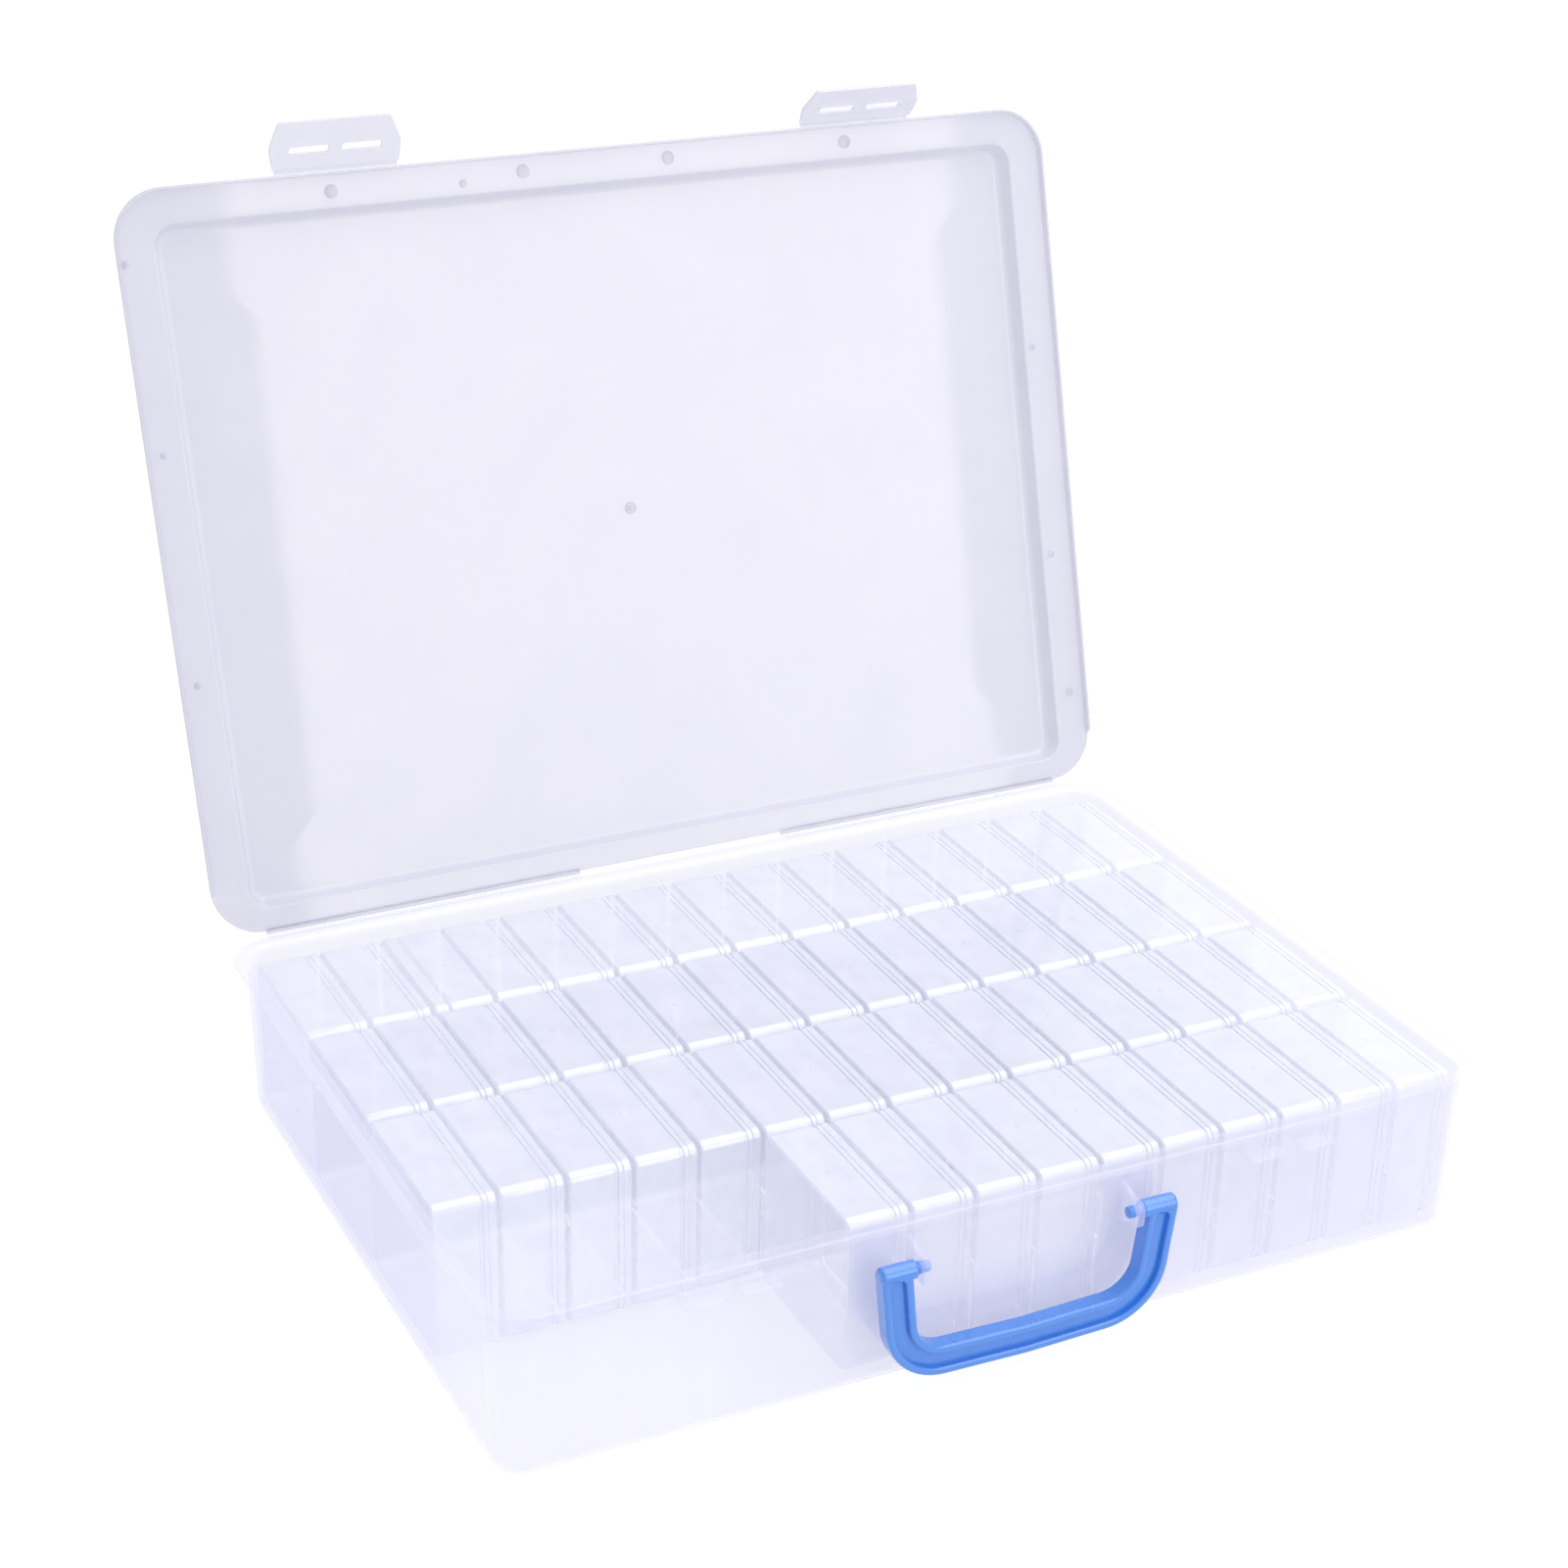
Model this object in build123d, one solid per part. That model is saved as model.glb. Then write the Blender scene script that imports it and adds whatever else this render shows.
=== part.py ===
from build123d import *
import math
import os

# All sizes are in millimetres. The case stands on Z = 0 with its middle over the origin,
# its front towards -Y and its hinge towards +Y. The lid stands open, as it is stored here.

# Small flip-top boxes, standing on edge. X is their thickness, Y their depth.
slots_across = 15
rows_deep = 4
empty_front_slots = 5
tray_thick = 16.2
cap_thick = 5.2
seam_gap = 0.1
seat_gap = 0.05
box_depth = 56.3
box_height = 54.0
box_wall = 1.0
box_corner = 3.2
plug_depth = 1.6
plug_wall = 0.9
plug_play = 0.1
slot_gap = 0.5
row_gap = 0.8
turned_boxes = {(3, 2)}
pushed_back_boxes = {(1, 1), (1, 4)}
push_back = 0.5
row_shifts = (-0.4, 0.5, 0.2, 0.1)

# The case tray
floor_thick = 2.0
wall = 1.7
side_play = 1.1
depth_play = 3.9
wall_draft = 1.0
rim_above_boxes = 2.8
rim_overhang = 4.2
rim_thick = 2.4
case_corner = 10.0
inner_corner = 7.3
rim_corner = 16.2
foot_round = 4.5
rim_outer_bevel = 0.5
rim_mouth_bevel = 0.9

# The lid and its thin folding hinge
lid_thick = 1.6
rim_play = 0.3
skirt_thick = 0.9
skirt_drop = 2.6
lid_rise = 6.0
border_side = 13.2
border_front = 12.0
border_back = 8.0
lid_step_draft = 2.0
lid_bevel = 1.8
recess_corner = 7.0
hinge_reach = 1.2
hinge_root = 1.0
hinge_thick = 0.5
hinge_play = 0.1
hinge_end_inset = 16.0
hinge_slot_length = 80.0
lid_open_angle = 106.3

# The two latch flaps and the catches that they snap over
flap_centre = 97.0
flap_foot_width = 44.0
flap_wide_width = 46.0
flap_tip_width = 39.0
flap_length = 17.2
flap_widest_at = 8.5
flap_thick = 1.4
flap_hinge_reach = 0.3
flap_web_length = 1.6
flap_web_thick = 0.4
flap_corner_round = 1.5
catch_from_hinge = 7.7
catch_spacing = 18.4
catch_width = 12.8
catch_thick = 0.9
catch_root_extra = 0.7
catch_proud = 0.8
slot_side_play = 0.6
slot_play = 0.65
latched_angle = 105.0
left_flap_angle = 20.0
right_flap_angle = 50.0

# The carrying handle and its ears
handle_opening = 81.8
handle_bar = 10.2
handle_drop = 40.0
handle_taper = 4.4
handle_thick = 6.0
handle_inner_round = 10.9
handle_edge_bevel = 0.7
channel_border = 2.6
channel_depth = 1.5
barrel_radius = 3.0
barrel_shoulder = 2.05
pin_radius = 1.9
pin_play = 0.07
pin_end_proud = 1.6
ear_thick = 2.0
ear_play = 0.85
ear_nose = 4.4
ear_root_up = 6.5
ear_root_down = 8.5
pivot_from_wall = 6.8
pivot_height = 44.0

# Sizes that follow from the ones above
box_thick = tray_thick + seam_gap + cap_thick
slot_pitch = box_thick + slot_gap
row_pitch = box_depth + row_gap
block_width = slots_across * slot_pitch - slot_gap
block_depth = rows_deep * row_pitch - row_gap
inner_width = block_width + 2 * side_play
inner_depth = block_depth + 2 * depth_play
foot_width = inner_width + 2 * wall
foot_depth = inner_depth + 2 * wall
rim_height = floor_thick + box_height + rim_above_boxes
rim_width = foot_width + 2 * (wall_draft + rim_overhang)
rim_depth = foot_depth + 2 * (wall_draft + rim_overhang)
lid_under = rim_height + rim_play
lid_half_width = rim_width / 2 + rim_play + skirt_thick
lid_front = -(rim_depth / 2 + rim_play + skirt_thick)
lid_back = rim_depth / 2
hinge_y = lid_back + hinge_reach
hinge_z = rim_height + rim_play / 2
flap_hinge_y = lid_front - flap_hinge_reach
flap_hinge_z = lid_under - skirt_drop


def tapered_block(width, depth, height, corner, spread):
    """A block with rounded upright corners whose top is wider than its foot by spread a side."""
    foot = RectangleRounded(width, depth, corner)
    top = RectangleRounded(width + 2 * spread, depth + 2 * spread, corner + spread)
    return loft([foot, Pos(0, 0, height) * top])


def wall_face(height):
    """How far in front of the middle the outside of the front wall is at this height."""
    return foot_depth / 2 + wall_draft * height / rim_height


def along_x(outline, low_x, high_x):
    """An outline drawn in Y and Z, run along X from low_x to high_x."""
    return Pos(low_x, 0, 0) * extrude(Plane.YZ * outline, high_x - low_x)


def open_lid(shape):
    """Turns what is drawn with the lid closed to where it is with the lid open."""
    return Pos(0, hinge_y, hinge_z) * Rot(-lid_open_angle, 0, 0) * Pos(0, -hinge_y, -hinge_z) * shape


def catch_place():
    """The middle of a catch's tip in Y and Z, where the latched flap's slots pass over it."""
    lean = math.radians(latched_angle - 90)
    middle_y = flap_hinge_y + catch_from_hinge * math.sin(lean)
    middle_z = flap_hinge_z - catch_from_hinge * math.cos(lean)
    return middle_y - flap_thick / 2 - catch_proud, middle_z


def make_catch(centre_x):
    """A wedge on the front wall, thin at its tip and deeper at its root."""
    tip_y, middle_z = catch_place()
    root_y = -wall_face(middle_z) + wall / 2
    top_z = middle_z + catch_thick / 2
    low_z = middle_z - catch_thick / 2
    outline = Polygon(
        (root_y, top_z),
        (tip_y + catch_thick / 2, top_z),
        (tip_y, middle_z),
        (tip_y, low_z),
        (root_y, low_z - catch_root_extra),
        align=None,
    )
    return along_x(outline, centre_x - catch_width / 2, centre_x + catch_width / 2)


def make_ear(side):
    """A plate square to the front wall with a round nose and the hole of the handle's pin."""
    pivot_y = -wall_face(pivot_height) - pivot_from_wall
    root_y = -wall_face(pivot_height) + wall / 2
    nose = Pos(pivot_y, pivot_height) * Circle(ear_nose)
    root = Polygon(
        (root_y, pivot_height + ear_root_up),
        (pivot_y, pivot_height + ear_nose),
        (pivot_y, pivot_height - ear_nose),
        (root_y, pivot_height - ear_root_down),
        align=None,
    )
    hole = Pos(pivot_y, pivot_height) * Circle(pin_radius + pin_play)
    outer_x = handle_opening / 2 - barrel_shoulder - ear_play
    low_x = outer_x - ear_thick if side > 0 else -outer_x
    return along_x(nose + root - hole, low_x, low_x + ear_thick)


def hinge_strips(back_y, low_z):
    """The thin strips, left and right of the middle slot, that reach back to the fold line."""
    outer_x = rim_width / 2 - hinge_end_inset
    length = outer_x - hinge_slot_length / 2
    depth = hinge_root + hinge_reach - hinge_play
    strips = []
    for side in (-1, 1):
        middle_x = side * (hinge_slot_length / 2 + length / 2)
        place = Pos(middle_x, back_y - hinge_root, low_z)
        strips.append(place * Box(length, depth, hinge_thick, align=(Align.CENTER, Align.MIN, Align.MIN)))
    return strips


def make_case_base():
    """The tray: a drafted shell with a rolled foot, an outward rim, catches and ears."""
    shell = tapered_block(foot_width, foot_depth, rim_height, case_corner, wall_draft)
    shell = fillet(shell.faces().sort_by(Axis.Z)[0].edges(), foot_round)
    rim = Pos(0, 0, rim_height - rim_thick) * extrude(RectangleRounded(rim_width, rim_depth, rim_corner), rim_thick)
    rim = chamfer(rim.faces().sort_by(Axis.Z)[-1].edges(), rim_outer_bevel)
    hollow_height = rim_height - floor_thick
    hollow = tapered_block(inner_width, inner_depth, hollow_height, inner_corner, wall_draft)
    # The mouth's bevel starts where the drafted wall has come to at that height.
    spread = wall_draft * (1 - rim_mouth_bevel / hollow_height)
    mouth = tapered_block(
        inner_width + 2 * spread,
        inner_depth + 2 * spread,
        rim_mouth_bevel,
        inner_corner + spread,
        rim_mouth_bevel + wall_draft - spread,
    )
    base = shell + rim - Pos(0, 0, floor_thick) * hollow - Pos(0, 0, rim_height - rim_mouth_bevel) * mouth
    for side in (-1, 1):
        base += make_ear(side)
        for shift in (-catch_spacing / 2, catch_spacing / 2):
            base += make_catch(side * flap_centre + shift)
    for strip in hinge_strips(rim_depth / 2, rim_height - hinge_thick):
        base += strip
    return base


def lid_sheet(width, depth, corner, middle_y, low_z, height):
    """A flat rounded plate of the lid, drawn with the lid closed."""
    return Pos(0, middle_y, low_z) * extrude(RectangleRounded(width, depth, corner), height)


def make_case_lid():
    """The lid: a flat border with a thin skirt round three sides and a raised panel."""
    length = lid_back - lid_front
    middle_y = (lid_back + lid_front) / 2
    width = 2 * lid_half_width
    corner = rim_corner + rim_play + skirt_thick
    lid = lid_sheet(width, length, corner, middle_y, lid_under, lid_thick)
    skirt_low = lid_under - skirt_drop
    skirt = lid_sheet(width, length, corner, middle_y, skirt_low, skirt_drop)
    skirt_hole = lid_sheet(
        width - 2 * skirt_thick,
        length - 2 * skirt_thick,
        corner - skirt_thick,
        middle_y,
        skirt_low,
        skirt_drop,
    )
    behind = Pos(0, lid_back, skirt_low) * Box(
        width, 2 * rim_corner, skirt_drop, align=(Align.CENTER, Align.CENTER, Align.MIN)
    )
    lid += skirt - skirt_hole - behind
    panel_width = width - 2 * border_side
    panel_depth = length - border_front - border_back
    panel_y = (lid_front + border_front + lid_back - border_back) / 2
    rise = Pos(0, panel_y, lid_under) * tapered_block(
        panel_width + 2 * lid_thick,
        panel_depth + 2 * lid_thick,
        lid_rise + lid_thick,
        recess_corner + lid_thick,
        -lid_step_draft,
    )
    # The outer bevel is this much longer, so that the plastic stays as thick along it.
    rise = chamfer(rise.faces().sort_by(Axis.Z)[-1].edges(), lid_bevel + lid_thick * (2 - math.sqrt(2)))
    recess = Pos(0, panel_y, lid_under) * tapered_block(
        panel_width, panel_depth, lid_rise, recess_corner, -lid_step_draft
    )
    recess = chamfer(recess.faces().sort_by(Axis.Z)[-1].edges(), lid_bevel)
    lid = lid + rise - recess
    for strip in hinge_strips(lid_back, lid_under):
        lid += strip
    return open_lid(lid)


def make_flap(side, angle):
    """A latch flap with two slots. It is drawn standing up from its fold and then leant over."""
    outline = Polygon(
        (-flap_foot_width / 2, flap_web_length),
        (flap_foot_width / 2, flap_web_length),
        (flap_wide_width / 2, flap_widest_at),
        (flap_tip_width / 2, flap_length),
        (-flap_tip_width / 2, flap_length),
        (-flap_wide_width / 2, flap_widest_at),
        align=None,
    )
    outline = fillet(outline.vertices().sort_by(Axis.Y)[2:], flap_corner_round)
    slot_width = catch_width + 2 * slot_side_play
    slot_height = catch_thick + 2 * slot_play
    for shift in (-catch_spacing / 2, catch_spacing / 2):
        outline -= Pos(shift, catch_from_hinge) * SlotOverall(slot_width, slot_height)
    web_end = flap_web_length + flap_web_thick
    web = Pos(0, web_end / 2) * Rectangle(flap_foot_width, web_end)
    flap = extrude(outline, flap_thick / 2, both=True) + extrude(web, flap_web_thick / 2, both=True)
    # The outline's Y runs away from the fold, which is -Y of the closed lid.
    closed = Pos(side * flap_centre, flap_hinge_y, flap_hinge_z) * Rot(180 + angle, 0, 0) * flap
    return open_lid(closed)


def bail_outline(top_half, foot_half, drop, corner):
    """A shape between the pins' line and drop below it, narrower at its foot, with rounded foot corners."""
    shape = Polygon((-top_half, 0), (-foot_half, -drop), (foot_half, -drop), (top_half, 0), align=None)
    return fillet(shape.vertices().sort_by(Axis.Y)[:2], corner)


def make_handle():
    """The bail: a rounded U with raised edges along a channel, hung on two pins."""
    pivot_y = -wall_face(pivot_height) - pivot_from_wall
    half_opening = handle_opening / 2
    outer_half = half_opening + handle_bar
    outer_round = handle_inner_round + handle_bar
    outer = bail_outline(outer_half, outer_half - handle_taper, handle_drop, outer_round)
    inner_drop = handle_drop - handle_bar
    inner_foot = half_opening - handle_taper * inner_drop / handle_drop
    inner = bail_outline(half_opening, inner_foot, inner_drop, handle_inner_round)
    bail = extrude(outer - inner, handle_thick / 2, both=True)
    rims = bail.edges().filter_by(lambda e: abs(abs(e.center().Z) - handle_thick / 2) < 0.01)
    bail = chamfer(rims.filter_by(lambda e: e.center().Y < -0.01), handle_edge_bevel)
    channel_top = Pos(0, -handle_drop / 2 - barrel_radius) * Rectangle(2 * outer_half, handle_drop)
    channel = offset((outer - inner) & channel_top, -channel_border, kind=Kind.ARC)
    channel_floor = handle_thick / 2 - channel_depth
    for face in (1, -1):
        cut = extrude(channel, channel_depth)
        bail -= Pos(0, 0, channel_floor if face > 0 else -channel_floor - channel_depth) * cut
    bail = Pos(0, pivot_y, pivot_height) * Rot(90, 0, 0) * bail
    barrel = Pos(pivot_y, pivot_height) * Circle(barrel_radius)
    pin = Pos(pivot_y, pivot_height) * Circle(pin_radius)
    shoulder = half_opening - barrel_shoulder
    pin_end = shoulder - ear_play - ear_thick - pin_end_proud
    for side in (-1, 1):
        ends = sorted((side * shoulder, side * outer_half))
        bail += along_x(barrel, *ends)
        ends = sorted((side * pin_end, side * (shoulder + barrel_shoulder)))
        bail += along_x(pin, *ends)
    return bail


def eased_rectangle(width, height, radius):
    """A rectangle whose corners are each eased by two flats that touch a circle of this radius."""
    points = []
    for turn, side_x, side_y in ((0, 1, 1), (90, -1, 1), (180, -1, -1), (270, 1, -1)):
        for step in (0, 45, 90):
            angle = math.radians(turn + step)
            middle_x = side_x * (width / 2 - radius)
            middle_y = side_y * (height / 2 - radius)
            points.append((middle_x + radius * math.cos(angle), middle_y + radius * math.sin(angle)))
    return Polygon(*points, align=None)


def make_small_box():
    """One flip-top box on edge with its foot on Z = 0: the tray on the left, the cap on the right."""
    frame = Pos(0, box_height / 2) * eased_rectangle(box_depth, box_height, box_corner)
    mouth = Pos(0, box_height / 2) * Rectangle(box_depth - 2 * box_wall, box_height - 2 * box_wall)
    tray = along_x(frame, 0, tray_thick) - along_x(mouth, box_wall, tray_thick)
    plug_inset = box_wall + plug_play
    plug = Pos(0, box_height / 2) * Rectangle(box_depth - 2 * plug_inset, box_height - 2 * plug_inset)
    inset = plug_inset + plug_wall
    well = Pos(0, box_height / 2) * Rectangle(box_depth - 2 * inset, box_height - 2 * inset)
    cap_start = tray_thick + seam_gap
    cap = along_x(frame, cap_start, box_thick)
    cap += along_x(plug, cap_start - plug_depth, cap_start)
    cap -= along_x(well, cap_start - plug_depth, box_thick - box_wall)
    return Pos(-box_thick / 2, 0, 0) * Compound(tray.solids() + cap.solids())


def small_boxes():
    """Every small box in its slot, by name. Row 1 is at the front and column 1 at the left."""
    pattern = make_small_box()
    placed = {}
    for row in range(rows_deep):
        first = empty_front_slots if row == 0 else 0
        middle_y = -block_depth / 2 + box_depth / 2 + row * row_pitch
        for slot in range(first, slots_across):
            middle_x = -block_width / 2 + box_thick / 2 + slot * slot_pitch + row_shifts[row]
            back = push_back if (row, slot) in pushed_back_boxes else 0
            turn = 180 if (row, slot) in turned_boxes else 0
            place = Pos(middle_x, middle_y + back, floor_thick + seat_gap) * Rot(0, 0, turn)
            placed[f"small_box_row{row + 1}_col{slot + 1:02d}"] = place * pattern
    return placed


nodes = {
    "case_base": make_case_base(),
    "case_lid": make_case_lid(),
    "latch_flap_left": make_flap(-1, left_flap_angle),
    "latch_flap_right": make_flap(1, right_flap_angle),
    "carry_handle": make_handle(),
}
nodes.update(small_boxes())

os.makedirs("parts", exist_ok=True)
for name, shape in nodes.items():
    export_step(shape, f"parts/{name}.step")
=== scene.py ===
"""Looks of the bead storage box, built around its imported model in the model's own frame.

Sizes in the classes are in millimetres, as in the model. Meshes and places are in metres.
"""

import logging
import math
from dataclasses import dataclass, replace
from enum import Enum
from typing import Callable, Iterable, Optional, Sequence, Union

import bmesh
import bpy
from mathutils import Matrix, Quaternion, Vector


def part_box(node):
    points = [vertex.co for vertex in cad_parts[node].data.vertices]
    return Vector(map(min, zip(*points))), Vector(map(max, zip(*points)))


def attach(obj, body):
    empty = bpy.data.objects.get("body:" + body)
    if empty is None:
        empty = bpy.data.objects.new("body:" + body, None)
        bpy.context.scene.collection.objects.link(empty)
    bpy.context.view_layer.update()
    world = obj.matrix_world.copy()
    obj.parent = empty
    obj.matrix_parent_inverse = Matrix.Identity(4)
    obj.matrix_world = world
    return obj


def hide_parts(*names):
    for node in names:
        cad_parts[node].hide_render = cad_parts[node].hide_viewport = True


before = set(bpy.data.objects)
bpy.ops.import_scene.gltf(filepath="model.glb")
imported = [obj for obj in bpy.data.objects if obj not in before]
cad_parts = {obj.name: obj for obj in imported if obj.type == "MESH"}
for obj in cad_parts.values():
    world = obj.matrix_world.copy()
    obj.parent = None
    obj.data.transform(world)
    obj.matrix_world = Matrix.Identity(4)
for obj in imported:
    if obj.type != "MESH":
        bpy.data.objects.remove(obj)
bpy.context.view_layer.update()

LOG = logging.getLogger("bead_storage_box")
MM = 0.001
SAME_POINT = 1e-7  # metres: points of a mesh that are closer than this become one
NO_LENGTH = 1e-6  # a shorter step along a path has no direction
SHARP_ANGLE = math.radians(42)  # edges steeper than this are shaded sharp
NEARLY_STRAIGHT = math.radians(88)  # half of the angle at a corner that needs no rounding
LEG_SHARE = 0.48  # how much of a path's leg one rounding may take
ROUND_END = 0.98  # radius of a slot's ends, as a share of half its width
LEAST_LEAN = 0.35  # keeps the tip of a sharp corner from moving too far
Pair = tuple[float, float]
Colour = tuple[float, float, float]
Inputs = dict[Union[str, int], object]


class Body(Enum):
    """The moving bodies of the model that pieces of this file ride on."""

    CASE = "case"
    LID = "lid"
    LEFT_LATCH = "left_latch"
    RIGHT_LATCH = "right_latch"
    HANDLE = "handle"


class Slot(Enum):
    """The material slots of the part's record."""

    CASE = "clear_case"
    BOXES = "clear_small_boxes"
    HANDLE = "blue_handle"


class Side(Enum):
    """Left or right of the case, seen from its handle."""

    LEFT = -1
    RIGHT = 1

    @property
    def word(self) -> str:
        """The side's name, as it stands in the names of pieces."""
        return self.name.lower()


# --- Shader maths ---


def operator(operation: str, swapped: bool = False) -> Callable[["Wire", "Term"], "Wire"]:
    """An operator of a Wire, which adds one Math node.

    Args:
        operation: what the Math node does.
        swapped: whether the Wire stands on the operator's right.

    Returns:
        The method for the operator.
    """

    def apply(wire: "Wire", other: "Term") -> "Wire":
        """Adds the node."""
        first, second = (other, wire) if swapped else (wire, other)
        return wire.graph.value("ShaderNodeMath", {0: first, 1: second}, operation=operation)

    return apply


class Wire:
    """An output socket of a node that takes part in sums, which adds the Math nodes."""

    def __init__(self, graph: "Graph", socket: bpy.types.NodeSocket) -> None:
        """Keeps the socket and the graph that it belongs to."""
        self.graph = graph
        self.socket = socket

    __add__, __radd__ = operator("ADD"), operator("ADD", swapped=True)
    __sub__, __rsub__ = operator("SUBTRACT"), operator("SUBTRACT", swapped=True)
    __mul__, __rmul__ = operator("MULTIPLY"), operator("MULTIPLY", swapped=True)
    __pow__, __rpow__ = operator("POWER"), operator("POWER", swapped=True)


Term = Union[Wire, float]


class Graph:
    """A material's or the world's node tree, emptied and ready for new nodes."""

    def __init__(self, owner: Union[bpy.types.Material, bpy.types.World]) -> None:
        """Switches the owner to nodes and clears them.

        Args:
            owner: the material or world whose nodes are written.
        """
        owner.use_nodes = True
        self.tree = owner.node_tree
        self.tree.nodes.clear()

    def node(
        self, kind: str, sockets: Optional[Inputs] = None, **settings: object
    ) -> bpy.types.Node:
        """Adds a node.

        Args:
            kind: the node's type.
            sockets: what goes to its inputs, by name or number: a value, a Wire or a socket.
            settings: its properties, which are set first. A ramp's stops go under that name.

        Returns:
            The new node.
        """
        node = self.tree.nodes.new(kind)
        for name, value in settings.items():
            if name == "stops":
                self._stops(node.color_ramp, value)
            else:
                setattr(node, name, value)
        for name, value in (sockets or {}).items():
            if isinstance(value, Wire):
                value = value.socket
            if isinstance(value, bpy.types.NodeSocket):
                self.tree.links.new(value, node.inputs[name])
            else:
                node.inputs[name].default_value = value
        return node

    def _stops(self, ramp: bpy.types.ColorRamp, stops: Sequence[tuple[float, float]]) -> None:
        """Writes a grey ramp's stops, each a place and a level."""
        while len(ramp.elements) < len(stops):
            ramp.elements.new(0.5)
        for element, (place, level) in zip(ramp.elements, stops):
            element.position = place
            element.color = (level, level, level, 1)

    def value(
        self, kind: str, sockets: Inputs, output: Union[str, int] = 0, **settings: object
    ) -> Wire:
        """Adds a node and takes one of its outputs as a number for sums."""
        return Wire(self, self.node(kind, sockets, **settings).outputs[output])

    def place(self) -> bpy.types.NodeSocket:
        """Points of the piece in its own frame, moved on for each object so that copies differ."""
        own = self.node("ShaderNodeTexCoord").outputs["Object"]
        where = self.node("ShaderNodeObjectInfo").outputs["Location"]
        return self.node("ShaderNodeVectorMath", {0: own, 1: where}, operation="ADD").outputs[0]

    def noise(self, size: float, detail: float = 3.0, stretch: Colour = (1, 1, 1)) -> Wire:
        """Soft random mottling.

        Args:
            size: width of one mottle, in metres.
            detail: how many finer layers it has.
            stretch: scale of the pattern along each axis.

        Returns:
            A value about 0.5.
        """
        point = self.node("ShaderNodeMapping", {"Vector": self.place(), "Scale": stretch})
        sockets = {"Vector": point.outputs[0], "Scale": 1 / size, "Detail": detail}
        return self.value("ShaderNodeTexNoise", sockets)

    def blend(self, factor: Term, first: Colour, second: Colour) -> bpy.types.NodeSocket:
        """Mixes two colours.

        Args:
            factor: 0 for the first colour, 1 for the second.
            first: red, green and blue of the first colour.
            second: red, green and blue of the second colour.

        Returns:
            The mixed colour's socket.
        """
        sockets = {0: factor, 6: (*first, 1), 7: (*second, 1)}
        return self.node("ShaderNodeMix", sockets, data_type="RGBA").outputs[2]

    def bump(self, height: Wire, distance: float, strength: float) -> bpy.types.NodeSocket:
        """A bumped normal from a height between 0 and 1, as deep as distance in metres."""
        sockets = {"Height": height, "Distance": distance, "Strength": strength}
        return self.node("ShaderNodeBump", sockets).outputs[0]

    def mix(self, share: Term, first: bpy.types.Node, second: bpy.types.Node) -> bpy.types.Node:
        """Mixes two shaders, where a share of 0 is the first and 1 the second."""
        sockets = {0: share, 1: first.outputs[0], 2: second.outputs[0]}
        return self.node("ShaderNodeMixShader", sockets)

    def surface(self, shader: bpy.types.Node, kind: str = "ShaderNodeOutputMaterial") -> None:
        """Ends the tree in this shader."""
        self.node(kind, {"Surface": shader.outputs[0]})


# --- Finishes ---


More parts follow.
